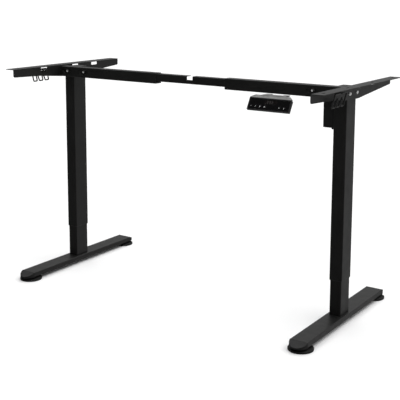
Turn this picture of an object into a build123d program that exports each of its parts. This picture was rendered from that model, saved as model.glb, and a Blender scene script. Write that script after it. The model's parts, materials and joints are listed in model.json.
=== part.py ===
from build123d import *
from math import sqrt
import os

# Height adjustable standing desk frame with no tabletop, in millimetres, standing on z = 0.
# X runs along the desk, the user sits on the -Y side, and Y = 0 is the middle of the footprint.
# Heights and depths below are from the floor and from the column axis unless a comment says otherwise.

LEFT = -1
RIGHT = 1
SIDES = {LEFT: "left", RIGHT: "right"}

# ---------------------------------------------------------------- driving dimensions
column_x = 588.0            # each column axis, from the middle of the frame
column_y = 50.75            # column axis, behind the middle of the footprint
travel_down = 110.0         # how far the heads can come down from the modelled height
travel_up = 345.0           # how far they can go up

# foot
foot_width = 63.0
foot_bottom = 14.0
foot_top = 32.5
foot_shift = 6.0            # middle of the foot, behind the column axis
foot_half = 293.5           # half length of the steel beam
nose_length = 32.0          # how far each end cap stands out of the beam
nose_lip = 5.0              # height of the vertical lip at the tip of a cap
foot_wall = 2.0
cap_plug = 20.0
leveller_reach = 281.0      # levelling foot axis, from the middle of the foot
pad_radius = 42.0
pad_height = 7.5
neck_radius = 11.0
neck_top = 12.5
stud_radius = 4.0
stud_top = 29.0
weld_nut_radius = 8.0
weld_nut_top = 26.0
tool_hole_radius = 8.0      # holes under the foot screws, for the key
foot_screw_head = 6.5
foot_screw_socket = 3.0
foot_screw_low = 24.5       # underside of the screw heads
foot_screw_hole = 4.0
run = 0.05                  # radial running clearance of a shaft in its hole
slide_gap = 0.15            # clearance of a flat plastic slide

# telescoping column
tube_width = 46.0
tube_depth = 71.0
tube_wall = 1.5
tube_bottom = 155.6
tube_corner = 3.5
inner_width = 41.2
inner_depth = 66.2
inner_wall = 2.0
inner_corner = 3.0
glide_margin = 4.0          # room left above the inner tube at the lowest height
base_thickness = 8.0
foot_screw_spacing = (20.0, 42.0)
lower_glide_length = 60.0
upper_glide_length = 38.0
glide_lip = 1.5

# head of the column: gearbox, bracket and rails
block_bottom = 769.4        # the gearbox block stands on the outer tube here
housing_top = 800.0
cover_top = 806.4
spigot_bottom = 742.0
inner_top = spigot_bottom - travel_down - glide_margin
block_in = 26.0             # from the column axis towards the middle of the frame
block_out = 29.8            # from the column axis to the side bracket
block_front = -48.2
block_back = 40.0
shaft_z = 780.0             # drive rod axis
cavity_radius = 15.5
bearing_seat_top = 758.0
shoulder_radius = 9.0       # opening between the bearings and the gears
cover_hole_spacing = (40.0, 74.0)
cover_hole_shift = -4.0     # middle of the cover's four holes, from the column axis
cover_hole_radius = 2.0
boss_radius = 12.0
boss_rise = 2.6
bearing_radius = 14.0       # outside of a spindle bearing
rod_bearing_radius = 9.5

top_z = 814.0               # top of the bracket flanges, where a tabletop lies
sheet = 2.0                 # sheet thickness of brackets and rails
flange_out = 72.5           # flange edge, outside the column axis
bracket_front = -307.0
bracket_back = 302.0
bracket_screw_y = (-32.5, 22.5)
bracket_screw_z = 787.0
web_outline = (             # web of a bracket, seen along X: depth from the column axis, height
    (bracket_front, top_z),
    (bracket_front, 784.0),
    (-166.0, 779.0),
    (-22.0, 765.5),
    (36.0, 765.5),
    (bracket_back, 788.0),
    (bracket_back, top_z),
)
window_y = (-145.5, 33.5, 149.0)
window_size = (36.0, 11.5)
window_z = 805.2
hook_wire = 2.5             # radius of the cable hook's wire
hook_bend = 3.1
hook_bottom = 759.0
top_slot_y = (-267.5, -97.5, 92.5, 262.5)
top_slot_x = 53.0           # slot centre line, outside the column axis
top_slot_size = (20.0, 7.0)

rail_front = -53.3
rail_depth = 34.0
rail_bottom = 769.4
rail_top = 808.9
rail_lip = 6.0
rail_inner_end = {LEFT: 146.4, RIGHT: 154.6}
rail_screw_x = (580.0, 496.0)
rail_screw_z = 791.0
rail_slot_size = (46.0, 14.0)
clamp_hole_radius = 3.0
head_plate_end = 463.0
centre_half = 300.0
centre_bottom = 778.0
centre_top = 806.6
centre_depth = 27.4
notch_x = (-8.0, 17.0)
notch_z = 793.0

# lifting spindle
spindle_radius = 7.0
collar_radius = 10.0
collar_bottom = 738.0
journal_radius = 6.0
nut_depth = 24.0            # bottom of the nut, below the top of the inner tube
nut_bottom = inner_top - nut_depth
nut_top = nut_bottom + 22.0
spindle_margin = 6.0        # thread left below the nut at the greatest height
spindle_bottom = nut_bottom - travel_up - spindle_margin

# bevel gears, equal pair, axes crossing at the column axis and the drive rod axis
teeth = 16
pitch_radius = 12.0
gear_face = 6.5             # tooth length along the cone
addendum = 1.3
dedendum = 1.9
hub_end = 19.3              # back of the hub, from the crossing point
hub_radius = 8.0
tooth_root = 1.55           # half width of a tooth at its root and at its tip
tooth_tip = 0.6
rim_thickness = 1.4

# drive rod
rod_across_flats = 7.0
sleeve_radius = 5.5
sleeve_gap = 0.15
rod_left_end = -290.0
sleeve_inner_end = -60.0

# motor, on the inner side of the right column
motor_x = 542.0
motor_y = 12.0
motor_radius = 16.0
motor_bottom = 672.0
motor_top = 750.0
cover_x = (521.7, 562.4)
cover_y = (-24.0, 31.0)
cover_bottom = 668.0
cover_wall = 2.0
wheel_radius = 8.0
wheel_hub_radius = 5.6
wheel_half = 4.0            # half width of the toothed part
hub_half = 8.0
worm_radius = 3.6
worm_pitch = 3.0
motor_shaft_radius = 2.5
gland_x = 548.5
gland_y = 4.0
gland_radius = 7.0
gland_bore = 3.5
gland_drop = 8.0

# control panel, level with the tabletop's underside
panel_x = (474.0, 615.0)
panel_front = -413.0        # top edge of the leaning face
panel_lean = 20.0           # how far the bottom of the face stands forward of its top
panel_drop = 34.0           # height of the leaning face
brow_rise = 7.0             # sloping brow between the face and the tabletop
brow_depth = 12.0
brow_bevel = 14.0           # how far the brow's two corners are cut back
shell_depth = 8.0           # thickness of the full width front part
body_x = (505.0, 584.0)     # narrower body behind it
body_back = -379.0
panel_wall = 2.0
ear_x = (515.0, 574.0)
ear_half = 9.0
ear_reach = 12.0
ear_thickness = 3.0
ear_hole_radius = 2.4
cord_hole_radius = 3.0
cord_hole_z = 806.0
face_thickness = 1.6
pocket_depth = 5.5
button_radius = 4.5
button_proud = 0.7
button_depth = 3.5
button_gap = 0.3
button_names = ("one", "two", "three", "memory", "up", "down")
button_offsets = (10.8, 27.1, 41.9, 57.6, 105.5, 121.3)   # from the left end of the panel
button_drop = 8.0           # below the middle of the face
display_offset = 73.0       # display centre, from the left end of the panel
display_rise = 7.5          # above the middle of the face
display_size = (42.0, 11.0)

os.makedirs("parts", exist_ok=True)


# ---------------------------------------------------------------- helpers
def span(side, near, far):
    """Low and high X of something between two distances from the middle, on one side."""
    return (near, far) if side == RIGHT else (-far, -near)


def save(piece, name):
    """Label a finished piece and write its STEP file."""
    piece.part.label = name
    export_step(piece.part, f"parts/{name}.step")


def block(x, y, z, mode=Mode.ADD):
    """A plain box between two corners, in the part being built. y is from the column axis."""
    middle = ((x[0] + x[1]) / 2, column_y + (y[0] + y[1]) / 2, (z[0] + z[1]) / 2)
    with Locations(middle):
        Box(x[1] - x[0], y[1] - y[0], z[1] - z[0], mode=mode)


def post(x, y, z, radius, mode=Mode.ADD):
    """A vertical cylinder from z[0] to z[1]. y is from the column axis."""
    with Locations((x, column_y + y, (z[0] + z[1]) / 2)):
        Cylinder(radius, z[1] - z[0], mode=mode)


def bar(x, y, z, radius, mode=Mode.ADD):
    """A cylinder along X from x[0] to x[1]. y is from the column axis."""
    with Locations(Location(((x[0] + x[1]) / 2, column_y + y, z), (0, 90, 0))):
        Cylinder(radius, x[1] - x[0], mode=mode)


def tube(x, size, corner, wall, z):
    """A rectangular tube standing on z[0], with rounded corners, on a column axis."""
    width, depth = size
    with BuildSketch(Plane.XY.offset(z[0])) as section:
        with Locations((x, column_y)):
            RectangleRounded(width, depth, corner)
            RectangleRounded(width - 2 * wall, depth - 2 * wall, corner - 0.6, mode=Mode.SUBTRACT)
    extrude(section.sketch, amount=z[1] - z[0])


# ---------------------------------------------------------------- feet
def foot_beam(side):
    """Rolled steel foot with weld nuts for the levelling feet and holes for the column screws."""
    x = side * column_x
    middle = column_y + foot_shift
    height = foot_top - foot_bottom
    with BuildPart() as beam:
        with BuildSketch(Plane.XZ.offset(-(middle + foot_half))):
            with Locations((x, foot_bottom + height / 2)):
                RectangleRounded(foot_width, height, 2.5)
                RectangleRounded(foot_width - 2 * foot_wall, height - 2 * foot_wall, 1.0, mode=Mode.SUBTRACT)
        extrude(amount=2 * foot_half)
        for end in (-1, 1):
            y = foot_shift + end * leveller_reach
            post(x, y, (foot_bottom + foot_wall / 2, weld_nut_top), weld_nut_radius)
            post(x, y, (foot_bottom - 1, weld_nut_top + 1), stud_radius + run, mode=Mode.SUBTRACT)
        with BuildSketch(Plane.XY.offset(foot_top - foot_wall - 1)):
            with Locations((x, column_y)):
                with GridLocations(*foot_screw_spacing, 2, 2):
                    Circle(foot_screw_hole)
        extrude(amount=foot_wall + 2, mode=Mode.SUBTRACT)
        with BuildSketch(Plane.XY.offset(foot_bottom - 1)):
            with Locations((x, column_y)):
                with GridLocations(*foot_screw_spacing, 2, 2):
                    Circle(tool_hole_radius)
        extrude(amount=foot_wall + 2, mode=Mode.SUBTRACT)
    return beam


def foot_caps(side):
    """The two rounded ends of a foot, bevelled down to a thin lip, each plugged into the beam."""
    x = side * column_x
    middle = column_y + foot_shift
    half = foot_width / 2
    height = foot_top - foot_bottom
    with BuildPart() as caps:
        for end in (-1, 1):
            start = middle + end * foot_half
            with BuildSketch(Plane.XY.offset(foot_bottom)):
                with BuildLine():
                    EllipticalCenterArc((x, start), half, nose_length, start_angle=0, arc_size=180 * end)
                    Line((x - half, start), (x + half, start))
                make_face()
            extrude(amount=height)
            with BuildSketch(Plane.YZ.offset(x - half - 1)):
                with BuildLine():
                    Polyline(
                        (start, foot_top),
                        (start + end * (nose_length + 1), foot_bottom + nose_lip - 0.4),
                        (start + end * (nose_length + 1), foot_top + 1),
                        (start, foot_top + 1),
                        close=True,
                    )
                make_face()
            extrude(amount=foot_width + 2, mode=Mode.SUBTRACT)
            inside = foot_width - 2 * foot_wall - 0.4
            plug = sorted((start - column_y - end * cap_plug, start - column_y))
            block(
                (x - inside / 2, x + inside / 2),
                plug,
                (foot_bottom + foot_wall + 0.2, foot_top - foot_wall - 0.2),
            )
            axis_y = foot_shift + end * leveller_reach
            post(x, axis_y, (foot_bottom, foot_top - foot_wall), weld_nut_radius + 0.4, mode=Mode.SUBTRACT)
        fillet(caps.edges().filter_by(Axis.Y), 1.2)
    return caps


def leveller(side, end):
    """Levelling foot: wide disc, neck and threaded stud."""
    x = side * column_x
    y = foot_shift + end * leveller_reach
    with BuildPart() as foot:
        post(x, y, (0, pad_height), pad_radius)
        chamfer(foot.edges().group_by(Axis.Z)[-1], length=2.2, length2=6.0)
        fillet(foot.edges().group_by(Axis.Z)[0], 0.8)
        post(x, y, (pad_height, neck_top), neck_radius)
        post(x, y, (neck_top, stud_top), stud_radius)
    return foot


def foot_screws(side):
    """Four screws that hold the inner tube on the foot."""
    with BuildPart() as screws:
        with BuildSketch(Plane.XY.offset(foot_screw_low)):
            with Locations((side * column_x, column_y)):
                with GridLocations(*foot_screw_spacing, 2, 2):
                    Circle(foot_screw_head)
                    RegularPolygon(foot_screw_socket, 6, mode=Mode.SUBTRACT)
        extrude(amount=foot_top - foot_wall - foot_screw_low)
        with BuildSketch(Plane.XY.offset(foot_top - foot_wall - 2.0)):
            with Locations((side * column_x, column_y)):
                with GridLocations(*foot_screw_spacing, 2, 2):
                    Circle(foot_screw_hole - 0.1)
        extrude(amount=foot_wall + 2.0 + base_thickness - 1)
    return screws


# ---------------------------------------------------------------- columns
def inner_tube(side):
    """Moving inner stage of the column, with its welded base plate."""
    x = side * column_x
    with BuildPart() as stage:
        tube(x, (inner_width, inner_depth), inner_corner, inner_wall, (foot_top, inner_top))
        with BuildSketch(Plane.XY.offset(foot_top)):
            with Locations((x, column_y)):
                RectangleRounded(inner_width - 1, inner_depth - 1, inner_corner - 0.5)
                with GridLocations(*foot_screw_spacing, 2, 2):
                    Circle(foot_screw_hole, mode=Mode.SUBTRACT)
        extrude(amount=base_thickness)
    return stage


def outer_tube(side):
    """Outer stage of the column, hanging from the gearbox."""
    with BuildPart() as stage:
        tube(side * column_x, (tube_width, tube_depth), tube_corner, tube_wall, (tube_bottom, block_bottom))
    return stage


def lower_glide(side):
    """Plastic slide in the bottom of the outer tube, with a lip under its edge."""
    x = side * column_x
    bore = (inner_width + 2 * slide_gap, inner_depth + 2 * slide_gap)
    sleeve = (tube_width - 2 * tube_wall, tube_depth - 2 * tube_wall)
    with BuildPart() as glide:
        with BuildSketch(Plane.XY.offset(tube_bottom - glide_lip)):
            with Locations((x, column_y)):
                RectangleRounded(tube_width - 0.8, tube_depth - 0.8, tube_corner)
        extrude(amount=glide_lip)
        with BuildSketch(Plane.XY.offset(tube_bottom)):
            with Locations((x, column_y)):
                RectangleRounded(*sleeve, tube_corner - 0.6)
        extrude(amount=lower_glide_length)
        with BuildSketch(Plane.XY.offset(tube_bottom - 2)):
            with Locations((x, column_y)):
                RectangleRounded(*bore, inner_corner + 0.1)
        extrude(amount=lower_glide_length + 4, mode=Mode.SUBTRACT)
    return glide


def upper_glide(side):
    """Plastic slide round the top of the inner tube, with a lip over its edge."""
    x = side * column_x
    outside = (tube_width - 2 * tube_wall - 2 * slide_gap, tube_depth - 2 * tube_wall - 2 * slide_gap)
    with BuildPart() as glide:
        with BuildSketch(Plane.XY.offset(inner_top - upper_glide_length)):
            with Locations((x, column_y)):
                RectangleRounded(*outside, tube_corner - 0.7)
                RectangleRounded(inner_width, inner_depth, inner_corner, mode=Mode.SUBTRACT)
        extrude(amount=upper_glide_length)
        with BuildSketch(Plane.XY.offset(inner_top)):
            with Locations((x, column_y)):
                RectangleRounded(*outside, tube_corner - 0.7)
                RectangleRounded(34, 58, 3, mode=Mode.SUBTRACT)
        extrude(amount=2)
    return glide


def spindle_nut(side):
    """Nut block in the top of the inner tube. The spindle turns in it and the tube moves along."""
    x = side * column_x
    with BuildPart() as nut:
        with BuildSketch(Plane.XY.offset(nut_bottom)):
            with Locations((x, column_y)):
                RectangleRounded(inner_width - 2 * inner_wall, inner_depth - 2 * inner_wall, 2.4)
                Circle(spindle_radius + run, mode=Mode.SUBTRACT)
                with Locations((0, 20), (0, -20)):
                    RectangleRounded(20, 12, 2, mode=Mode.SUBTRACT)
        extrude(amount=nut_top - nut_bottom)
    return nut


def spindle(side):
    """Lifting spindle with a thrust collar and a journal for the bearings."""
    x = side * column_x
    with BuildPart() as screw:
        post(x, 0, (spindle_bottom, collar_bottom), spindle_radius)
        chamfer(screw.edges().group_by(Axis.Z)[0], 1.5)
        post(x, 0, (collar_bottom, spigot_bottom + 0.8), collar_radius)
        post(x, 0, (spigot_bottom + 0.8, shaft_z - 9.0), journal_radius)
    return screw


# ---------------------------------------------------------------- gearbox
def bevel_gear(bore):
    """One gear of the equal bevel pair: crossing point at the origin, axis Z, hub downwards."""
    slant = sqrt(2) * pitch_radius
    shrink = (slant - gear_face) / slant
    drop = dedendum * sqrt(0.5)
    outer = (pitch_radius - drop, -pitch_radius - drop)
    inner = (outer[0] * shrink, outer[1] * shrink)
    back = (outer[0] - rim_thickness, outer[1] - rim_thickness)
    with BuildPart() as tooth:
        for scale in (1.0, shrink):
            centre = pitch_radius * scale
            plane = Plane(origin=(centre, 0, -centre), x_dir=(0, 1, 0), z_dir=(1, 0, -1))
            low = -(dedendum + 0.3) * scale
            high = addendum * scale
            with BuildSketch(plane):
                with BuildLine():
                    Polyline(
                        (-tooth_root * scale, low),
                        (tooth_root * scale, low),
                        (tooth_tip * scale, high),
                        (-tooth_tip * scale, high),
                        close=True,
                    )
                make_face()
        loft()
    with BuildPart() as gear:
        with BuildSketch(Plane.XZ):
            with BuildLine():
                Polyline(
                    (bore, inner[1]),
                    inner,
                    outer,
                    back,
                    (hub_radius, back[1]),
                    (hub_radius, -hub_end),
                    (bore, -hub_end),
                    close=True,
                )
            make_face()
        revolve(axis=Axis.Z)
        with PolarLocations(0, teeth):
            add(tooth.part)
    return gear.part


def spindle_gear(side):
    """Bevel gear on top of the spindle."""
    with BuildPart() as gear:
        with Locations((side * column_x, column_y, shaft_z)):
            add(bevel_gear(journal_radius))
    return gear


def pinion_gear(side):
    """Bevel gear with its sleeve, half a tooth out of step with the spindle gear.

    The right sleeve is short and grips the drive rod. The rod slides in the long left one.
    """
    half_tooth = 180 / teeth
    wheel = bevel_gear(sleeve_radius).rotate(Axis.Z, half_tooth)
    wheel = wheel.rotate(Axis.Y, 90 * side)
    with BuildPart() as gear:
        with Locations((side * column_x, column_y, shaft_z)):
            add(wheel)
        near = column_x - 7.5
        far = column_x - 27.0 if side == RIGHT else -sleeve_inner_end
        play = 0.02 if side == RIGHT else sleeve_gap
        sleeve = span(side, far, near)
        bar(sleeve, 0, shaft_z, sleeve_radius)
        with BuildSketch(Plane.YZ.offset(sleeve[0] - 1)):
            with Locations((column_y, shaft_z)):
                RegularPolygon(rod_across_flats / 2 + play, 6, major_radius=False)
        extrude(amount=sleeve[1] - sleeve[0] + 2, mode=Mode.SUBTRACT)
    return gear


def gearbox_housing(side):
    """Cast housing on top of the column: a block, and a spigot that fills the outer tube."""
    x = side * column_x
    spigot = (tube_width - 2 * tube_wall - 0.2, tube_depth - 2 * tube_wall - 0.2)
    with BuildPart() as housing:
        block(
            span(side, column_x - block_in, column_x + block_out),
            (block_front, block_back),
            (block_bottom, housing_top),
        )
        fillet(housing.edges().filter_by(Axis.Z), 2.0)
        with BuildSketch(Plane.XY.offset(spigot_bottom)):
            with Locations((x, column_y)):
                RectangleRounded(*spigot, tube_corner - 0.6)
        extrude(amount=block_bottom - spigot_bottom)
        post(x, 0, (spigot_bottom - 1, bearing_seat_top), bearing_radius, mode=Mode.SUBTRACT)
        post(x, 0, (bearing_seat_top - 1, bearing_seat_top + 3), shoulder_radius, mode=Mode.SUBTRACT)
        post(x, 0, (bearing_seat_top + 2, housing_top + 1), cavity_radius, mode=Mode.SUBTRACT)
        block(
            span(side, column_x - 16.5, column_x),
            (-14.0, 14.0),
            (shaft_z - 14.0, housing_top + 1),
            mode=Mode.SUBTRACT,
        )
        bar(span(side, column_x - block_in - 1, column_x), 0, shaft_z, rod_bearing_radius, mode=Mode.SUBTRACT)
        for y in bracket_screw_y:
            hole = span(side, column_x + block_out - 14, column_x + block_out + 1)
            bar(hole, y, bracket_screw_z, clamp_hole_radius, mode=Mode.SUBTRACT)
        with BuildSketch(Plane.XY.offset(housing_top - 10)):
            with Locations((x, column_y + cover_hole_shift)):
                with GridLocations(*cover_hole_spacing, 2, 2):
                    Circle(cover_hole_radius)
        extrude(amount=11, mode=Mode.SUBTRACT)
        with BuildSketch(Plane.XZ.offset(-(column_y + block_front + 8))):
            with Locations((side * rail_screw_x[0], rail_screw_z)):
                Circle(clamp_hole_radius)
        extrude(amount=9, mode=Mode.SUBTRACT)
    return housing


def gearbox_cover(side):
    """Cover plate of the gearbox, with a low round boss over the spindle and four screw holes."""
    x = side * column_x
    with BuildPart() as cover:
        block(
            span(side, column_x - block_in, column_x + block_out),
            (block_front, block_back),
            (housing_top, cover_top),
        )
        fillet(cover.edges().filter_by(Axis.Z), 2.0)
        post(x, 0, (housing_top, cover_top + boss_rise), boss_radius)
        fillet(cover.edges().group_by(Axis.Z)[-1], 1.0)
        post(x, 0, (housing_top - 1, cover_top - 1.5), boss_radius - 2, mode=Mode.SUBTRACT)
        with BuildSketch(Plane.XY.offset(housing_top - 1)):
            with Locations((x, column_y + cover_hole_shift)):
                with GridLocations(*cover_hole_spacing, 2, 2):
                    Circle(cover_hole_radius + 0.2)
        extrude(amount=cover_top - housing_top + 2, mode=Mode.SUBTRACT)
    return cover


def bearings(side):
    """Two spindle bearings and the bearing of the drive rod, as plain rings."""
    x = side * column_x
    with BuildPart() as rings:
        for low in (spigot_bottom + 1.0, spigot_bottom + 8.6):
            post(x, 0, (low, low + 7.0), bearing_radius)
            post(x, 0, (low - 0.1, low + 7.1), journal_radius + run, mode=Mode.SUBTRACT)
        near = span(side, column_x - block_in, column_x - block_in + 5.5)
        bar(near, 0, shaft_z, rod_bearing_radius)
        bar((near[0] - 1, near[1] + 1), 0, shaft_z, sleeve_radius + run, mode=Mode.SUBTRACT)
    return rings


# ---------------------------------------------------------------- brackets and rails
def side_bracket(side):
    """Pressed steel angle that carries the tabletop: tapered web, windows and a slotted flange."""
    inner = column_x + block_out
    web = span(side, inner, inner + sheet)
    edge = side * (column_x + flange_out)
    with BuildPart() as bracket:
        with BuildSketch(Plane.YZ.offset(web[0])) as profile:
            with BuildLine():
                Polyline(*[(column_y + y, z) for y, z in web_outline], close=True)
            make_face()
            fillet(profile.vertices().group_by(Axis.X)[0].sort_by(Axis.Y)[0], 8.0)
            fillet(profile.vertices().group_by(Axis.X)[-1].sort_by(Axis.Y)[0], 5.0)
        extrude(amount=sheet)
        block(
            tuple(sorted((side * inner, edge))),
            (bracket_front, bracket_back),
            (top_z - sheet, top_z),
        )
        bend = bracket.edges().filter_by(Axis.Y).filter_by_position(Axis.Z, top_z - 0.1, top_z + 0.1)
        fillet(bend.sort_by(Axis.X)[-1 if side == LEFT else 0], 1.6)
        corners = bracket.edges().filter_by(Axis.Z).filter_by_position(Axis.Z, top_z - 1.5, top_z - 0.5)
        outer_corners = corners.sort_by(Axis.X)[:2] if side == LEFT else corners.sort_by(Axis.X)[-2:]
        fillet(outer_corners, 6.0)
        with BuildSketch(Plane.YZ.offset(web[0] - 1)):
            with Locations(*[(column_y + y, window_z) for y in window_y]):
                RectangleRounded(*window_size, 3.5)
            with Locations(*[(column_y + y, bracket_screw_z) for y in bracket_screw_y]):
                Circle(3.3)
        extrude(amount=sheet + 2, mode=Mode.SUBTRACT)
        with BuildSketch(Plane.XY.offset(top_z - sheet - 1)):
            with Locations(*[(side * (column_x + top_slot_x), column_y + y) for y in top_slot_y]):
                SlotOverall(*top_slot_size, rotation=90)
        extrude(amount=sheet + 2, mode=Mode.SUBTRACT)
    return bracket


def pan_screws(places, direction, head, head_height, shank, length):
    """Pan head screws with hexagon sockets: head on a face, shank behind it, along X or Y."""
    with BuildPart() as screws:
        for place in places:
            plane = Plane(origin=place, z_dir=direction)
            with BuildSketch(plane):
                Circle(head)
            extrude(amount=head_height, taper=12)
            with BuildSketch(plane.offset(head_height)):
                RegularPolygon(2.3, 6, major_radius=True)
            extrude(amount=-head_height * 0.6, mode=Mode.SUBTRACT)
            with BuildSketch(plane.offset(head_height * 0.2)):
                Circle(shank)
            extrude(amount=-length - head_height * 0.2)
    return screws


def bracket_screws(side):
    """Two screws through the web of a side bracket into the gearbox."""
    face = column_x + block_out + sheet
    places = [(side * face, column_y + y, bracket_screw_z) for y in bracket_screw_y]
    return pan_screws(places, (side, 0, 0), 5.5, 3.0, 2.95, 13.0)


def rail_screws(side):
    """Two wide headed screws that clamp the slotted rail to the head plate and the gearbox."""
    places = [(side * x, column_y + rail_front, rail_screw_z) for x in rail_screw_x]
    return pan_screws(places, (0, -1, 0), 8.2, 2.6, 2.95, 11.0)


def head_plate(side):
    """Steel plate on the front of the gearbox that the rail is clamped to."""
    with BuildPart() as plate:
        block(
            span(side, head_plate_end, column_x + block_out - 0.8),
            (rail_front + sheet + 0.1, block_front),
            (rail_bottom + sheet + 0.4, rail_top - sheet - 0.4),
        )
        fillet(plate.edges().filter_by(Axis.Y), 3.0)
        with BuildSketch(Plane.XZ.offset(-(column_y + block_front + 1))):
            with Locations(*[(side * x, rail_screw_z) for x in rail_screw_x]):
                Circle(clamp_hole_radius)
        extrude(amount=6, mode=Mode.SUBTRACT)
    return plate


def outer_rail(side):
    """Outer crossbar half: a lipped channel, open behind, slotted at its two clamping screws."""
    ends = span(side, rail_inner_end[side], column_x + block_out - 0.2)
    height = rail_top - rail_bottom
    middle = (column_y + rail_front + rail_depth / 2, rail_bottom + height / 2)
    with BuildPart() as rail:
        with BuildSketch(Plane.YZ.offset(ends[0])):
            with Locations(middle):
                RectangleRounded(rail_depth, height, 2.5)
                RectangleRounded(rail_depth - 2 * sheet, height - 2 * sheet, 0.6, mode=Mode.SUBTRACT)
            with Locations((middle[0] + rail_depth / 2, middle[1])):
                Rectangle(3 * sheet, height - 2 * sheet - 2 * rail_lip, mode=Mode.SUBTRACT)
        extrude(amount=ends[1] - ends[0])
        block(
            span(side, column_x - block_in - 2, column_x + block_out + 1),
            (rail_front + sheet, rail_front + rail_depth + 1),
            (rail_bottom - 1, rail_top - sheet),
            mode=Mode.SUBTRACT,
        )
        with BuildSketch(Plane.XZ.offset(-(column_y + rail_front + sheet + 1))):
            with Locations(*[(side * x, rail_screw_z) for x in rail_screw_x]):
                SlotOverall(*rail_slot_size)
        extrude(amount=sheet + 2, mode=Mode.SUBTRACT)
    return rail


def centre_rail():
    """Middle crossbar: a channel that slides inside both outer rails, notched at its centre."""
    front = column_y + rail_front + sheet + 0.3
    height = centre_top - centre_bottom
    middle = (front + centre_depth / 2, centre_bottom + height / 2)
    with BuildPart() as rail:
        with BuildSketch(Plane.YZ.offset(-centre_half)):
            with Locations(middle):
                RectangleRounded(centre_depth, height, 2.2)
                RectangleRounded(centre_depth - 2 * sheet, height - 2 * sheet, 0.5, mode=Mode.SUBTRACT)
            with Locations((middle[0] + centre_depth / 2, middle[1])):
                Rectangle(3 * sheet, height - 2 * sheet, mode=Mode.SUBTRACT)
        extrude(amount=2 * centre_half)
        block(
            notch_x,
            (rail_front, rail_front + rail_depth),
            (notch_z, centre_top + 1),
            mode=Mode.SUBTRACT,
        )
    return rail


def cable_hook(side):
    """Bent wire cable hook: hangs in the front window of a bracket and makes three loops."""
    web = column_x + block_out + sheet
    sill = window_z - window_size[1] / 2 + hook_wire + 0.1
    low = hook_bottom
    waist = hook_bottom + 28.0
    path = [                # out from the bracket's outer face, depth, height
        (-5.0, -140.0, sill - 11.4),
        (-5.0, -140.0, sill),
        (23.0, -140.0, sill),
        (23.0, -106.0, sill),
        (12.0, -108.0, low),
        (12.0, -126.0, low),
        (21.0, -130.5, waist),
        (21.0, -137.0, waist),
        (12.0, -139.5, low),
        (12.0, -157.5, low),
        (21.0, -161.0, waist),
        (21.0, -167.5, waist),
        (12.0, -170.0, low),
        (12.0, -188.0, low),
        (23.0, -190.0, sill),
        (23.0, -152.0, sill),
        (-5.0, -152.0, sill),
        (-5.0, -152.0, sill - 11.4),
    ]
    points = [(side * (web + out), column_y + y, z) for out, y, z in path]
    with BuildPart() as hook:
        with BuildLine() as wire:
            FilletPolyline(*points, radius=hook_bend)
        with BuildSketch(Plane(origin=points[0], z_dir=(0, 0, 1))):
            Circle(hook_wire)
        sweep(path=wire.line, transition=Transition.TRANSFORMED)
    return hook


# ---------------------------------------------------------------- drive rod and motor
def drive_rod():
    """Hexagonal rod from the right gearbox to inside the left sleeve."""
    with BuildPart() as rod:
        with BuildSketch(Plane.YZ.offset(rod_left_end)):
            with Locations((column_y, shaft_z)):
                RegularPolygon(rod_across_flats / 2, 6, major_radius=False)
        extrude(amount=column_x - 9.0 - rod_left_end)
    return rod


def worm_wheel():
    """Wheel on the drive rod that the motor's worm turns."""
    with BuildPart() as wheel:
        bar((motor_x - wheel_half, motor_x + wheel_half), 0, shaft_z, wheel_radius)
        with BuildSketch(Plane.YZ.offset(motor_x - wheel_half - 1)):
            with Locations((column_y, shaft_z)):
                with PolarLocations(wheel_radius, 20):
                    Rectangle(2.2, 1.0)
        extrude(amount=2 * wheel_half + 2, mode=Mode.SUBTRACT)
        bar((motor_x - hub_half, motor_x + hub_half), 0, shaft_z, wheel_hub_radius)
        with BuildSketch(Plane.YZ.offset(motor_x - hub_half - 1)):
            with Locations((column_y, shaft_z)):
                RegularPolygon(rod_across_flats / 2 + 0.02, 6, major_radius=False)
        extrude(amount=2 * hub_half + 2, mode=Mode.SUBTRACT)
    return wheel


def motor_worm():
    """Motor shaft with its worm, standing upright beside the wheel."""
    with BuildPart() as worm:
        post(motor_x, motor_y, (motor_top - 10, 795.0), motor_shaft_radius)
        post(motor_x, motor_y, (shaft_z - 3 * worm_pitch, shaft_z + 3 * worm_pitch), worm_radius)
        with BuildSketch(Plane.XZ.offset(-(column_y + motor_y))):
            with Locations((motor_x + worm_radius, shaft_z)):
                with GridLocations(1, worm_pitch, 1, 5):
                    Rectangle(1.4, 1.3)
        revolve(axis=Axis((motor_x, column_y + motor_y, 0), (0, 0, 1)), mode=Mode.SUBTRACT)
    return worm


def motor_can():
    """Sealed gear motor, upright beside the right column."""
    with BuildPart() as can:
        post(motor_x, motor_y, (motor_bottom, motor_top), motor_radius)
        fillet(can.edges().group_by(Axis.Z)[0], 2.0)
        post(motor_x, motor_y, (motor_top, motor_top + 4), 9.0)
        post(motor_x, motor_y, (motor_top - 12, motor_top + 5), motor_shaft_radius + run, mode=Mode.SUBTRACT)
    return can


def motor_gearbox():
    """Small cast box round the worm and wheel, over the motor."""
    with BuildPart() as box:
        block((motor_x - 13, motor_x + 13), (-13.0, 25.0), (motor_top + 4, 800.0))
        fillet(box.edges().filter_by(Axis.Z), 2.0)
        block((motor_x - 10, motor_x + 10), (-10.0, 22.0), (761.0, 797.0), mode=Mode.SUBTRACT)
        bar((motor_x - 14, motor_x + 14), 0, shaft_z, wheel_hub_radius + 0.3, mode=Mode.SUBTRACT)
        post(motor_x, motor_y, (motor_top, 762.0), 2.8, mode=Mode.SUBTRACT)
    return box


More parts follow.
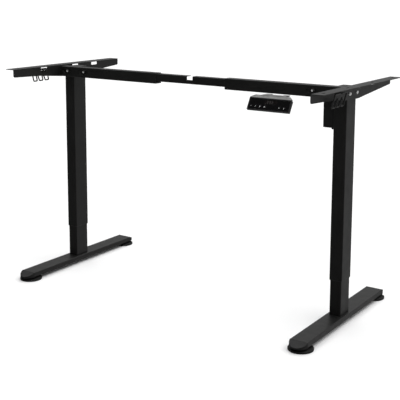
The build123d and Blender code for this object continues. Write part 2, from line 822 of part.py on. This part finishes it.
def motor_cover():
    """Plastic shell round the motor, open at the top, with a cable gland under its floor."""
    with BuildPart() as shell:
        block(cover_x, cover_y, (cover_bottom, block_bottom - 0.6))
        fillet(shell.edges().filter_by(Axis.Z), 4.0)
        fillet(shell.edges().group_by(Axis.Z)[0], 2.0)
        block(
            (cover_x[0] + cover_wall, cover_x[1] - cover_wall),
            (cover_y[0] + cover_wall, cover_y[1] - cover_wall),
            (cover_bottom + cover_wall, block_bottom + 1),
            mode=Mode.SUBTRACT,
        )
        post(gland_x, gland_y, (cover_bottom - gland_drop, cover_bottom + 1), gland_radius)
        bore = (cover_bottom - gland_drop - 1, cover_bottom + cover_wall + 1)
        post(gland_x, gland_y, bore, gland_bore, mode=Mode.SUBTRACT)
    return shell


# ---------------------------------------------------------------- control panel
face_length = sqrt(panel_lean**2 + panel_drop**2)
face_out = (0, -panel_drop / face_length, panel_lean / face_length)
face_top = top_z - brow_rise
face_centre = (
    (panel_x[0] + panel_x[1]) / 2,
    column_y + panel_front - panel_lean / 2,
    face_top - panel_drop / 2,
)
face_plane = Plane(origin=face_centre, x_dir=(1, 0, 0), z_dir=face_out)
panel_width = panel_x[1] - panel_x[0]
button_places = [(offset - panel_width / 2, -button_drop) for offset in button_offsets]
display_place = (display_offset - panel_width / 2, display_rise)


def side_prism(points, ends):
    """Prism along X from points given as depth behind the face's top edge, and height."""
    front = column_y + panel_front
    with BuildSketch(Plane.YZ.offset(ends[0])) as section:
        with BuildLine():
            Polyline(*[(front + depth, height) for depth, height in points], close=True)
        make_face()
    return extrude(section.sketch, amount=ends[1] - ends[0], mode=Mode.PRIVATE)


def panel_case():
    """Case under the tabletop: leaning front with a sloping brow, narrower body, two screw ears."""
    bottom = face_top - panel_drop
    back = body_back - panel_front
    inward = (panel_drop / face_length * shell_depth, -panel_lean / face_length * shell_depth)
    shell = (
        (0, face_top),
        (-panel_lean, bottom),
        (-panel_lean + inward[0], bottom + inward[1]),
        (inward[0], face_top + inward[1]),
        (brow_depth, face_top + inward[1]),
        (brow_depth, top_z),
    )
    body = (
        (4.0, 804.0),
        (-12.0, 771.5),
        (back, 796.0),
        (back, top_z),
        (brow_depth - 1, top_z),
    )
    cavity = (
        (2.0, 800.0),
        (-12.0, 775.0),
        (-8.0, 775.5),
        (back - panel_wall, 798.5),
        (back - panel_wall, top_z - panel_wall),
        (brow_depth + panel_wall, top_z - panel_wall),
    )
    brow_back = column_y + panel_front + brow_depth
    with BuildPart() as case:
        add(side_prism(shell, panel_x))
        for end, inwards in ((panel_x[0], 1), (panel_x[1], -1)):
            with BuildSketch(Plane.XY.offset(face_top + inward[1] - 1)):
                with BuildLine():
                    Polyline(
                        (end - inwards, brow_back - brow_depth + 1),
                        (end - inwards, brow_back + 1),
                        (end + inwards * brow_bevel, brow_back + 1),
                        close=True,
                    )
                make_face()
            extrude(amount=brow_rise + shell_depth, mode=Mode.SUBTRACT)
        add(side_prism(body, body_x))
        with BuildSketch(face_plane.offset(1)):
            RectangleRounded(panel_width - 8, face_length - 5, 3)
        extrude(amount=-1 - face_thickness, mode=Mode.SUBTRACT)
        with BuildSketch(face_plane.offset(1)):
            RectangleRounded(panel_width - 10.5, face_length - 7, 2.5)
        extrude(amount=-1 - pocket_depth, mode=Mode.SUBTRACT)
        add(side_prism(cavity, (body_x[0] + panel_wall, body_x[1] - panel_wall)), mode=Mode.SUBTRACT)
        for x in ear_x:
            ear = (body_back - panel_wall, body_back + ear_reach)
            block((x - ear_half, x + ear_half), ear, (top_z - ear_thickness, top_z))
            post(x, body_back + ear_reach / 2, (top_z - 4, top_z + 1), ear_hole_radius, mode=Mode.SUBTRACT)
        with BuildSketch(Plane.XZ.offset(-(column_y + body_back + 1))):
            with Locations((sum(body_x) / 2, cord_hole_z)):
                Circle(cord_hole_radius)
        extrude(amount=panel_wall + 2, mode=Mode.SUBTRACT)
    return case


def panel_face():
    """Gloss face plate with holes for the buttons and the display window."""
    with BuildPart() as plate:
        with BuildSketch(face_plane.offset(-face_thickness)):
            RectangleRounded(panel_width - 8.4, face_length - 5.4, 2.8)
            with Locations(*button_places):
                Circle(button_radius + button_gap, mode=Mode.SUBTRACT)
            with Locations(display_place):
                RectangleRounded(*display_size, 1.5, mode=Mode.SUBTRACT)
        extrude(amount=face_thickness)
    return plate


def display_window():
    """Tinted window over the height display."""
    with BuildPart() as window:
        with BuildSketch(face_plane.offset(-face_thickness)):
            with Locations(display_place):
                RectangleRounded(display_size[0] - 0.1, display_size[1] - 0.1, 1.5)
        extrude(amount=face_thickness - 0.2)
    return window


def button(place):
    """One push button, domed a little, that goes in along the face's normal."""
    with BuildPart() as cap:
        with BuildSketch(face_plane.offset(button_proud - button_depth)):
            with Locations(place):
                Circle(button_radius)
        extrude(amount=button_depth)
        fillet(cap.edges().sort_by(Axis(face_centre, face_out))[-1], 0.4)
    return cap


# ---------------------------------------------------------------- write every piece
side_pieces = {
    "foot_beam": foot_beam,
    "foot_end_caps": foot_caps,
    "foot_screws": foot_screws,
    "inner_tube": inner_tube,
    "upper_glide": upper_glide,
    "spindle_nut": spindle_nut,
    "outer_tube": outer_tube,
    "lower_glide": lower_glide,
    "spindle": spindle,
    "spindle_gear": spindle_gear,
    "pinion_gear": pinion_gear,
    "gearbox_housing": gearbox_housing,
    "gearbox_cover": gearbox_cover,
    "bearings": bearings,
    "head_plate": head_plate,
    "side_bracket": side_bracket,
    "bracket_screws": bracket_screws,
    "outer_rail": outer_rail,
    "rail_screws": rail_screws,
    "cable_hook": cable_hook,
}
single_pieces = {
    "centre_rail": centre_rail,
    "drive_rod": drive_rod,
    "worm_wheel": worm_wheel,
    "motor_worm": motor_worm,
    "motor_can": motor_can,
    "motor_gearbox": motor_gearbox,
    "motor_cover": motor_cover,
    "panel_case": panel_case,
    "panel_face": panel_face,
    "display_window": display_window,
}

for side, side_name in SIDES.items():
    for piece_name, make in side_pieces.items():
        save(make(side), f"{side_name}_{piece_name}")
    for end, end_name in ((-1, "front"), (1, "rear")):
        save(leveller(side, end), f"{side_name}_{end_name}_leveller")
for piece_name, make in single_pieces.items():
    save(make(), piece_name)
for button_name, place in zip(button_names, button_places):
    save(button(place), f"button_{button_name}")
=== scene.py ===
import json
import math

import bmesh
import bpy
from mathutils import Matrix, Vector


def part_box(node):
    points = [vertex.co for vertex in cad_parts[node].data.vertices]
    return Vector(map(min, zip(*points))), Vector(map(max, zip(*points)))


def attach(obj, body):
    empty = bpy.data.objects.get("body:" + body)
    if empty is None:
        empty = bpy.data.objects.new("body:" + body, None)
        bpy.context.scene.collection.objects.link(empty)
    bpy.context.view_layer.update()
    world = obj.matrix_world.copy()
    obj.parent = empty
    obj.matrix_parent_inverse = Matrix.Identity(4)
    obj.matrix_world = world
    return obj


MM = 0.001
COLUMN_Y = 0.05075           # the columns' axes, behind the middle of the footprint
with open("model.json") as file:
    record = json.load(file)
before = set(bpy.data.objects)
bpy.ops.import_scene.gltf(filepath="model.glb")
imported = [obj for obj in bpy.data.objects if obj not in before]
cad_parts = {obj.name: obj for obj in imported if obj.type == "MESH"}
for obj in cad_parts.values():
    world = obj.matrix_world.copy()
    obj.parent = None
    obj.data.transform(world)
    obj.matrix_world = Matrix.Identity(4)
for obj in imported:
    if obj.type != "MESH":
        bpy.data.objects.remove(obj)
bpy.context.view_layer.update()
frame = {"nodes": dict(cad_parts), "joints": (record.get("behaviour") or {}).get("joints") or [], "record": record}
nodes = frame["nodes"]


# ---------------------------------------------------------------- material graphs
class Graph:
    """A material made of nodes, with short calls for the few node kinds used here."""

    def __init__(self, name):
        self.material = bpy.data.materials.new(name)
        self.material.use_nodes = True
        self.tree = self.material.node_tree
        self.shader = next(n for n in self.tree.nodes if n.type == "BSDF_PRINCIPLED")
        self.place = self.add("ShaderNodeTexCoord").outputs["Object"]

    def add(self, kind, **settings):
        node = self.tree.nodes.new(kind)
        for key, value in settings.items():
            setattr(node, key, value)
        return node

    def feed(self, node, name, value):
        """Sets a socket, or links it where the value is another node's output."""
        socket = node.inputs[name]
        if isinstance(value, bpy.types.NodeSocket):
            self.tree.links.new(value, socket)
        else:
            socket.default_value = value

    def fixed(self, **values):
        """Values on the shader's own sockets; underscores stand for spaces."""
        for key, value in values.items():
            self.shader.inputs[key.replace("_", " ")].default_value = value

    def stretched(self, factors):
        mapping = self.add("ShaderNodeMapping")
        self.feed(mapping, "Vector", self.place)
        mapping.inputs["Scale"].default_value = factors
        return mapping.outputs["Vector"]

    def noise(self, scale, detail=2.0, rough=0.5, place=None):
        node = self.add("ShaderNodeTexNoise")
        self.feed(node, "Vector", place or self.place)
        self.feed(node, "Scale", scale)
        self.feed(node, "Detail", detail)
        self.feed(node, "Roughness", rough)
        return node.outputs["Fac"]

    def cells(self, scale, place=None):
        node = self.add("ShaderNodeTexVoronoi")
        self.feed(node, "Vector", place or self.place)
        self.feed(node, "Scale", scale)
        return node.outputs["Distance"]

    def bands(self, scale, direction="Z", distortion=0.0, place=None, rings=False):
        node = self.add("ShaderNodeTexWave", wave_type="RINGS" if rings else "BANDS")
        if rings:
            node.rings_direction = direction
        else:
            node.bands_direction = direction
        self.feed(node, "Vector", place or self.place)
        self.feed(node, "Scale", scale)
        self.feed(node, "Distortion", distortion)
        return node.outputs["Fac"]

    def remap(self, value, low, high, to_low, to_high):
        node = self.add("ShaderNodeMapRange")
        self.feed(node, "Value", value)
        limits = {"From Min": low, "From Max": high, "To Min": to_low, "To Max": to_high}
        for name, number in limits.items():
            self.feed(node, name, number)
        return node.outputs["Result"]

    def math(self, operation, a, b=0.0):
        node = self.add("ShaderNodeMath", operation=operation)
        for socket, value in zip(node.inputs, (a, b)):
            if isinstance(value, bpy.types.NodeSocket):
                self.tree.links.new(value, socket)
            else:
                socket.default_value = value
        return node.outputs[0]

    def blend(self, share, first, second):
        """A colour between two colours, each a triple or a node's output."""
        node = self.add("ShaderNodeMix", data_type="RGBA")
        for socket, value in ((node.inputs[0], share), (node.inputs[6], first), (node.inputs[7], second)):
            if isinstance(value, bpy.types.NodeSocket):
                self.tree.links.new(value, socket)
            elif isinstance(value, (int, float)):
                socket.default_value = value
            else:
                socket.default_value = (*value, 1.0)
        return node.outputs[2]

    def soft_edges(self, radius):
        """Rounds the look of sharp edges; returns the rounded normal and a mask that is 1 on the edges."""
        bevel = self.add("ShaderNodeBevel", samples=4)
        self.feed(bevel, "Radius", radius)
        normal = bevel.outputs["Normal"]
        dot = self.add("ShaderNodeVectorMath", operation="DOT_PRODUCT")
        self.tree.links.new(normal, dot.inputs[0])
        self.tree.links.new(self.add("ShaderNodeNewGeometry").outputs["Normal"], dot.inputs[1])
        return normal, self.remap(dot.outputs["Value"], 0.995, 0.86, 0.0, 1.0)

    def bump(self, height, depth, normal=None):
        """Bump of a depth in metres."""
        node = self.add("ShaderNodeBump")
        self.feed(node, "Height", height)
        self.feed(node, "Distance", depth)
        self.feed(node, "Strength", 1.0)
        if normal is not None:
            self.feed(node, "Normal", normal)
        return node.outputs["Normal"]

    def done(self, color, rough, normal):
        self.feed(self.shader, "Base Color", color)
        self.feed(self.shader, "Roughness", rough)
        self.feed(self.shader, "Normal", normal)
        return self.material


def powder_coat():
    """Fine orange peel of satin black powder coat, lighter grey on the edges: partly wear, partly a painted
    highlight.
    """
    g = Graph("powder_coat")
    rounded, edge = g.soft_edges(0.9 * MM)
    peel = g.noise(520.0, 3.0, 0.55)
    speck = g.noise(2100.0, 1.0)
    cloudy = g.remap(g.noise(9.0, 3.0), 0.3, 0.7, 0.0, 1.0)
    tone = g.blend(cloudy, (0.0058, 0.0058, 0.0056), (0.0088, 0.0088, 0.0083))
    tone = g.blend(g.remap(speck, 0.55, 0.75, 0.0, 0.6), tone, (0.015, 0.015, 0.0145))
    # Lighter grey edges: partly wear, partly a painted highlight along the edges.
    edge_wear_and_highlight = g.math("MULTIPLY", edge, g.remap(g.noise(70.0, 3.0), 0.35, 0.65, 0.25, 0.8))
    tone = g.blend(edge_wear_and_highlight, tone, (0.085, 0.085, 0.082))
    rough = g.remap(g.noise(30.0, 4.0), 0.3, 0.7, 0.36, 0.46)
    height = g.math("ADD", g.math("MULTIPLY", peel, 0.7), g.math("MULTIPLY", speck, 0.3))
    g.fixed(Specular_IOR_Level=0.34)
    return g.done(tone, rough, g.bump(height, 0.05 * MM, rounded))


def moulded(name, low, high, grain, rough, specular=0.4):
    """Moulded black plastic with a spark-eroded grain."""
    g = Graph(name)
    rounded, edge = g.soft_edges(0.6 * MM)
    tone = g.blend(g.remap(g.noise(24.0, 3.0), 0.3, 0.7, 0.0, 1.0), low, high)
    tone = g.blend(g.math("MULTIPLY", edge, 0.4), tone, tuple(2.4 * c for c in high))
    pits = g.math("MULTIPLY", g.cells(grain), 0.6)
    height = g.math("ADD", pits, g.math("MULTIPLY", g.noise(grain * 0.6), 0.4))
    g.fixed(Specular_IOR_Level=specular)
    dull = g.remap(g.noise(90.0, 3.0), 0.3, 0.7, rough[0], rough[1])
    return g.done(tone, dull, g.bump(height, 0.04 * MM, rounded))


def panel_plastic():
    """Grained black plastic of the panel case, with a painted highlight, a pale duller film, on what faces up."""
    g = Graph("case_plastic")
    rounded, edge = g.soft_edges(0.6 * MM)
    # Painted highlight: faces that look up, such as the panel's brow, get a pale grey film that stands in for
    # light falling on them, and the film also makes them duller.
    upward = g.add("ShaderNodeSeparateXYZ")
    g.tree.links.new(g.add("ShaderNodeTexCoord").outputs["Normal"], upward.inputs[0])
    sheen = g.math("MULTIPLY", g.remap(upward.outputs["Z"], 0.62, 0.84, 0.0, 1.0),
                  g.remap(g.noise(65.0, 4.0, 0.6), 0.35, 0.65, 0.5, 1.0))
    cloudy = g.remap(g.noise(24.0, 3.0), 0.3, 0.7, 0.0, 1.0)
    tone = g.blend(cloudy, (0.007, 0.007, 0.0072), (0.011, 0.011, 0.0113))
    # Here the painted highlight turns the faces that look up pale grey.
    tone = g.blend(sheen, tone, (0.24, 0.24, 0.235))
    tone = g.blend(g.math("MULTIPLY", edge, 0.35), tone, (0.05, 0.05, 0.05))
    pits = g.math("MULTIPLY", g.cells(1100.0), 0.6)
    height = g.math("ADD", pits, g.math("MULTIPLY", g.noise(660.0), 0.4))
    g.fixed(Specular_IOR_Level=0.3)
    return g.done(tone, g.remap(sheen, 0.0, 1.0, 0.42, 0.62), g.bump(height, 0.04 * MM, rounded))


def rubber():
    """Dull black rubber with faint turned rings and a dusty bloom."""
    g = Graph("rubber")
    rounded, edge = g.soft_edges(0.8 * MM)
    bloom = g.remap(g.noise(55.0, 5.0, 0.6), 0.4, 0.75, 0.0, 0.55)
    tone = g.blend(bloom, (0.006, 0.006, 0.006), (0.016, 0.016, 0.0155))
    tone = g.blend(g.math("MULTIPLY", edge, 0.35), tone, (0.03, 0.03, 0.03))
    height = g.math("ADD", g.bands(160.0, "Z", 0.4), g.noise(700.0, 2.0))
    g.fixed(Specular_IOR_Level=0.22)
    return g.done(tone, g.remap(bloom, 0.0, 0.55, 0.62, 0.8), g.bump(height, 0.05 * MM, rounded))


def metal(name, dark, light, rough, streaks, metallic=1.0):
    """Bare or plated metal: streaks of its machining and slight tarnish."""
    g = Graph(name)
    rounded, edge = g.soft_edges(0.4 * MM)
    lines = g.noise(60.0, 4.0, 0.6, g.stretched(streaks))
    tone = g.blend(g.remap(g.noise(35.0, 4.0), 0.3, 0.7, 0.0, 1.0), dark, light)
    tone = g.blend(g.math("MULTIPLY", edge, 0.5), tone, tuple(min(1.0, 1.25 * c) for c in light))
    g.fixed(Metallic=metallic)
    height = g.math("ADD", lines, g.math("MULTIPLY", g.noise(900.0), 0.4))
    return g.done(tone, g.remap(lines, 0.3, 0.7, rough[0], rough[1]), g.bump(height, 0.02 * MM, rounded))


THREAD_PITCH = 4.0 * MM      # a band texture of scale s repeats every pi / (10 s)


def threaded():
    """Rolled trapezoidal thread of the lifting spindle, with a film of grease."""
    g = Graph("threaded_steel")
    rounded, _ = g.soft_edges(0.3 * MM)
    thread = g.bands(math.pi / (10.0 * THREAD_PITCH), "Z")
    tone = g.blend(thread, (0.2, 0.19, 0.17), (0.62, 0.61, 0.58))
    g.fixed(Metallic=1.0)
    sheen = g.remap(g.noise(120.0, 3.0), 0.3, 0.7, 0.18, 0.34)
    return g.done(tone, sheen, g.bump(thread, 0.5 * MM, rounded))


def cast():
    """Black painted die casting: pebbled skin."""
    g = Graph("painted_casting")
    rounded, edge = g.soft_edges(0.8 * MM)
    cloudy = g.remap(g.noise(18.0, 3.0), 0.3, 0.7, 0.0, 1.0)
    tone = g.blend(cloudy, (0.008, 0.008, 0.008), (0.014, 0.014, 0.0135))
    tone = g.blend(g.math("MULTIPLY", edge, 0.45), tone, (0.05, 0.05, 0.049))
    height = g.math("ADD", g.noise(260.0, 4.0, 0.6), g.math("MULTIPLY", g.cells(420.0), 0.5))
    g.fixed(Specular_IOR_Level=0.45)
    dull = g.remap(g.noise(80.0), 0.3, 0.7, 0.42, 0.58)
    return g.done(tone, dull, g.bump(height, 0.12 * MM, rounded))


def gloss(name, tone, rough, coat, specular):
    """Polished black plastic with faint wiping marks."""
    g = Graph(name)
    rounded, edge = g.soft_edges(0.35 * MM)
    wipes = g.noise(40.0, 5.0, 0.65, g.stretched((1.0, 0.35, 0.6)))
    wiped = g.blend(wipes, tone, tuple(1.6 * c for c in tone))
    color = g.blend(g.math("MULTIPLY", edge, 0.4), wiped, (0.03, 0.03, 0.031))
    g.fixed(Specular_IOR_Level=specular, Coat_Weight=coat, Coat_Roughness=0.05)
    smear = g.remap(wipes, 0.35, 0.7, rough[0], rough[1])
    return g.done(color, smear, g.bump(g.noise(300.0), 0.004 * MM, rounded))


def tinted():
    """Dark window over the display."""
    g = Graph("tinted_window")
    haze = g.noise(60.0, 4.0)
    g.fixed(Transmission_Weight=0.5, IOR=1.3)
    tone = g.blend(haze, (0.012, 0.01, 0.01), (0.02, 0.017, 0.0165))
    return g.done(tone, g.remap(haze, 0.3, 0.7, 0.04, 0.09), g.bump(g.noise(220.0), 0.003 * MM))


def printed(name, low, high, rough):
    """Screen printing, with the slight mottle of its mesh."""
    g = Graph(name)
    mottle = g.noise(900.0, 3.0)
    dull = g.remap(mottle, 0.3, 0.7, rough, rough + 0.12)
    return g.done(g.blend(mottle, low, high), dull, g.bump(mottle, 0.01 * MM))


EVEN = (1.0, 1.0, 1.0)
TURNED = (0.1, 6.0, 6.0)     # streaks run round a shaft that lies along X


def grey(level):
    return (level, level, level)


MATERIALS = {
    "powder_coated_steel": powder_coat(),
    "black_moulding": moulded("moulding", grey(0.006), grey(0.01), 1300.0, (0.5, 0.62), 0.28),
    "leveller_rubber": rubber(),
    "zinc_screws": metal("zinc", (0.78, 0.79, 0.79), (0.93, 0.93, 0.91), (0.34, 0.46), EVEN, 0.35),
    "glide_plastic": moulded("glide_nylon", grey(0.014), grey(0.022), 500.0, (0.34, 0.46)),
    "nut_plastic": moulded("acetal", (0.66, 0.65, 0.61), (0.76, 0.75, 0.71), 700.0, (0.36, 0.5)),
    "machined_steel": metal("turned_steel", (0.4, 0.4, 0.39), (0.58, 0.58, 0.56), (0.24, 0.38), TURNED),
    "bronze_wheel": metal("bronze", (0.42, 0.28, 0.12), (0.62, 0.44, 0.2), (0.26, 0.4), EVEN),
    "cast_housing": cast(),
    "motor_steel": moulded("motor_paint", (0.16, 0.16, 0.165), (0.21, 0.21, 0.215), 600.0, (0.34, 0.44)),
    "coated_wire": moulded("wire_coat", grey(0.01), grey(0.015), 420.0, (0.3, 0.4)),
    "panel_case_plastic": panel_plastic(),
    "panel_gloss": gloss("gloss_black", (0.0022, 0.0022, 0.0024), (0.08, 0.15), 0.15, 0.3),
    "display_tint": tinted(),
    "button_plastic": gloss("button_gloss", (0.003, 0.003, 0.0033), (0.2, 0.28), 0.1, 0.3),
    "pale_print": printed("pale_ink", (0.8, 0.81, 0.81), (0.92, 0.93, 0.93), 0.42),
    "display_segments": printed("segment_grey", (0.03, 0.028, 0.027), (0.045, 0.042, 0.04), 0.5),
}
SPINDLE = threaded()

slot_of = {row["node"]: row["material_slot"] for row in frame["record"]["subparts"]}
for name, node in nodes.items():
    node.data.materials.clear()
    node.data.materials.append(SPINDLE if name.endswith("_spindle") else MATERIALS[slot_of[name]])


# ---------------------------------------------------------------- added pieces
def piece(name, body, slot, mesh):
    thing = bpy.data.objects.new(name, mesh)
    bpy.context.scene.collection.objects.link(thing)
    thing.data.materials.append(MATERIALS[slot])
    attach(thing, body)
    return thing


def mesh_of(made, name):
    bmesh.ops.recalc_face_normals(made, faces=made.faces)
    mesh = bpy.data.meshes.new(name)
    made.to_mesh(mesh)
    made.free()
    return mesh


def turned_ring(centre, axis, profile, count=40):
    """Ring turned about an axis from a closed outline of radius and distance along the axis."""
    side = axis.orthogonal().normalized()
    other = axis.cross(side)
    made = bmesh.new()
    rows = []
    for k in range(count):
        angle = 2 * math.pi * k / count
        out = side * math.cos(angle) + other * math.sin(angle)
        rows.append([made.verts.new(centre + out * radius + axis * along) for radius, along in profile])
    for k, row in enumerate(rows):
        ahead = rows[(k + 1) % count]
        for i in range(len(row)):
            j = (i + 1) % len(row)
            made.faces.new((row[i], row[j], ahead[j], ahead[i]))
    return made


# Black cup washers on the clamping screws, which leave only the middle of each head bright.
WASHER = (                   # radius, and distance out from the rail's face, in millimetres
    (3.7, 3.4),
    (4.6, 3.4),
    (8.6, 1.1),
    (8.6, 0.0),
    (8.25, 0.0),
    (8.25, 0.9),
    (7.6, 2.75),
    (3.7, 2.75),
)
FORWARD = Vector((0.0, -1.0, 0.0))
for side in ("left", "right"):
    node_name = side + "_rail_screws"
    low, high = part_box(node_name)
    head_radius = (high.z - low.z) / 2
    rail_low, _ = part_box(side + "_outer_rail")
    for number, x in enumerate((low.x + head_radius, high.x - head_radius)):
        centre = Vector((x, rail_low.y, (low.z + high.z) / 2))
        made = turned_ring(centre, FORWARD, [(r * MM, d * MM) for r, d in WASHER])
        piece(f"{side}_rail_washer_{number + 1}", side + "_head", "black_moulding", mesh_of(made, "washer"))


# The panel's leaning face: its outward direction is against the way that a button is pressed.
press = next(j for j in frame["joints"] if j["name"] == "button_one_press")
face_right = Vector((1.0, 0.0, 0.0))
face_out = -Vector(press["axis"]).normalized()
face_up = face_out.cross(face_right)
PRINT_DEPTH = 0.03 * MM      # how far the print is sunk into the face


def centre_of(name):
    low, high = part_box(name)
    return (low + high) / 2


def cap_middle(name):
    """Middle of the outer face of a button or of the display window."""
    top = max(v.co.dot(face_out) for v in nodes[name].data.vertices)
    middle = centre_of(name)
    return middle + face_out * (top - middle.dot(face_out))


def flat_shape(outlines, middle, thickness=0.08 * MM):
    """Thin solid from outlines in the face's own two directions, standing on the face."""
    made = bmesh.new()
    for outline in outlines:
        base = middle - face_out * PRINT_DEPTH
        low = [made.verts.new(base + face_right * u + face_up * v) for u, v in outline]
        high = [made.verts.new(p.co + face_out * thickness) for p in low]
        made.faces.new(low)
        made.faces.new(high)
        for i in range(len(low)):
            j = (i + 1) % len(low)
            made.faces.new((low[i], low[j], high[j], high[i]))
    return made


def digit_outlines(text, height):
    """Outlines of a digit in the strokes of a seven part display, each stroke pointed at its ends."""
    width = 0.56 * height
    nib = 0.075 * height         # half the stroke's thickness
    strokes = {                  # middle of the stroke, and whether it lies level
        "a": (0, height / 2, True),
        "g": (0, 0, True),
        "d": (0, -height / 2, True),
        "f": (-width / 2, height / 4, False),
        "b": (width / 2, height / 4, False),
        "e": (-width / 2, -height / 4, False),
        "c": (width / 2, -height / 4, False),
    }
    used = {"1": "bc", "2": "abged", "3": "abgcd", "8": "abcdefg"}[text]
    outlines = []
    for x, y, level in (strokes[letter] for letter in used):
        half = (width if level else height / 2) / 2 - 0.04 * height
        upper = [(-half, 0), (nib - half, nib), (half - nib, nib)]
        stroke = upper + [(-u, -v) for u, v in upper]
        outlines.append([(x + u, y + v) if level else (x + v, y + u) for u, v in stroke])
    return outlines


def disc_outline(radius, count):
    angles = [2 * math.pi * k / count for k in range(count)]
    return [(radius * math.cos(a), radius * math.sin(a)) for a in angles]


def ring_outlines(radius, width, count=28):
    """A ring as a closed run of quads, and a dot in its middle."""
    inner = disc_outline(radius - width, count)
    outer = disc_outline(radius, count)
    quads = [[inner[i - 1], outer[i - 1], outer[i], inner[i]] for i in range(count)]
    return quads + [disc_outline(0.32 * radius, 16)]


def chevron(size, sign):
    """An arrowhead pointing up the face, or down it."""
    return [[(0, sign * size * 0.62), (size * 0.78, -sign * size * 0.3), (size * 0.5, -sign * size * 0.56),
             (0, sign * size * 0.1), (-size * 0.5, -sign * size * 0.56), (-size * 0.78, -sign * size * 0.3)]]


MARK = 4.0 * MM
marks = {
    "button_one": digit_outlines("1", MARK),
    "button_two": digit_outlines("2", MARK),
    "button_three": digit_outlines("3", MARK),
    "button_memory": ring_outlines(0.5 * MARK, 0.14 * MARK),
    "button_up": chevron(0.6 * MARK, 1),
    "button_down": chevron(0.6 * MARK, -1),
}
for name, outlines in marks.items():
    mark = name.replace("button_", "mark_")
    piece(mark, name, "pale_print", mesh_of(flat_shape(outlines, cap_middle(name)), mark))

# Three unlit digits, each with its dot, on the display window.
DIGIT = 6.6 * MM
DIGIT_STEP = 7.5 * MM
DOT_SHIFT = 3.8 * MM         # a dot's place beside its digit
DOT_RADIUS = 0.45 * MM
FIRST_DIGIT = -9.0 * MM      # the first digit's place, from the window's middle
segments = []
for number in range(3):
    offset = FIRST_DIGIT + number * DIGIT_STEP
    segments += [[(u + offset, v) for u, v in outline] for outline in digit_outlines("8", DIGIT)]
    dot = disc_outline(DOT_RADIUS, 10)
    segments.append([(u + offset + DOT_SHIFT, v - DIGIT / 2) for u, v in dot])
display = mesh_of(flat_shape(segments, cap_middle("display_window"), 0.06 * MM), "display_digits")
piece("display_digits", "right_head", "display_segments", display)


# ---------------------------------------------------------------- size, stage, light and camera
def daylight(name, direction, strength, angle):
    lamp = bpy.data.lights.new(name, "SUN")
    lamp.energy = strength
    lamp.angle = math.radians(angle)
    holder = bpy.data.objects.new(name, lamp)
    bpy.context.scene.collection.objects.link(holder)
    holder.rotation_euler = Vector(direction).to_track_quat("-Z", "Y").to_euler()
    return holder


def floor():
    made = bmesh.new()
    bmesh.ops.create_grid(made, x_segments=1, y_segments=1, size=60.0)
    thing = bpy.data.objects.new("floor", mesh_of(made, "floor"))
    bpy.context.scene.collection.objects.link(thing)
    g = Graph("floor_paper")
    shade = g.noise(3.0, 2.0)
    dull = g.remap(shade, 0.3, 0.7, 0.85, 0.9)
    paper = g.done(g.blend(shade, grey(0.9), grey(0.92)), dull, g.bump(g.noise(600.0), 0.02 * MM))
    thing.data.materials.append(paper)
    thing.visible_glossy = False


def surroundings():
    """White to the camera; for the object, bright behind it and dim in front, as with a lit backdrop."""
    world = bpy.data.worlds.new("studio")
    world.use_nodes = True
    bpy.context.scene.world = world
    bpy.context.scene.view_settings.view_transform = "Standard"
    tree = world.node_tree
    background = next(n for n in tree.nodes if n.type == "BACKGROUND")
    place = tree.nodes.new("ShaderNodeTexCoord")
    split = tree.nodes.new("ShaderNodeSeparateXYZ")
    tree.links.new(place.outputs["Generated"], split.inputs[0])
    spread = tree.nodes.new("ShaderNodeMapRange")
    tree.links.new(split.outputs["Y"], spread.inputs["Value"])
    for name, number in (("From Min", -0.5), ("From Max", 0.8), ("To Min", 0.07), ("To Max", 0.42)):
        spread.inputs[name].default_value = number
    eye = tree.nodes.new("ShaderNodeLightPath")
    pick = tree.nodes.new("ShaderNodeMix")
    tree.links.new(eye.outputs["Is Camera Ray"], pick.inputs[0])
    tree.links.new(spread.outputs[0], pick.inputs[2])
    pick.inputs[3].default_value = 1.0
    tree.links.new(pick.outputs[0], background.inputs["Strength"])
    background.inputs["Color"].default_value = (1.0, 1.0, 1.0, 1.0)


floor()
surroundings()
daylight("overhead", (-0.1, -0.12, -1.0), 3.1, 90.0)
daylight("right_side", (-0.8, 0.1, -0.6), 0.35, 60.0)

YAW, PITCH, ROLL = (math.radians(angle) for angle in (34.16, 8.95, 0.18))
camera = bpy.data.cameras.new("camera")
camera.sensor_width = 36.0
camera.lens = 79.677
camera.shift_y = -0.2
camera.clip_start = 0.05
camera.clip_end = 200.0
camera_holder = bpy.data.objects.new("camera", camera)
bpy.context.scene.collection.objects.link(camera_holder)
tilt = Matrix.Rotation(math.radians(90.0) - PITCH, 3, "X")
turn = Matrix.Rotation(YAW, 3, "Z") @ tilt @ Matrix.Rotation(ROLL, 3, "Z")
camera_holder.rotation_mode = "QUATERNION"
camera_holder.rotation_quaternion = turn.to_quaternion()
camera_holder.location = (1.807, -2.640 + COLUMN_Y, 1.145)
bpy.context.scene.camera = camera_holder
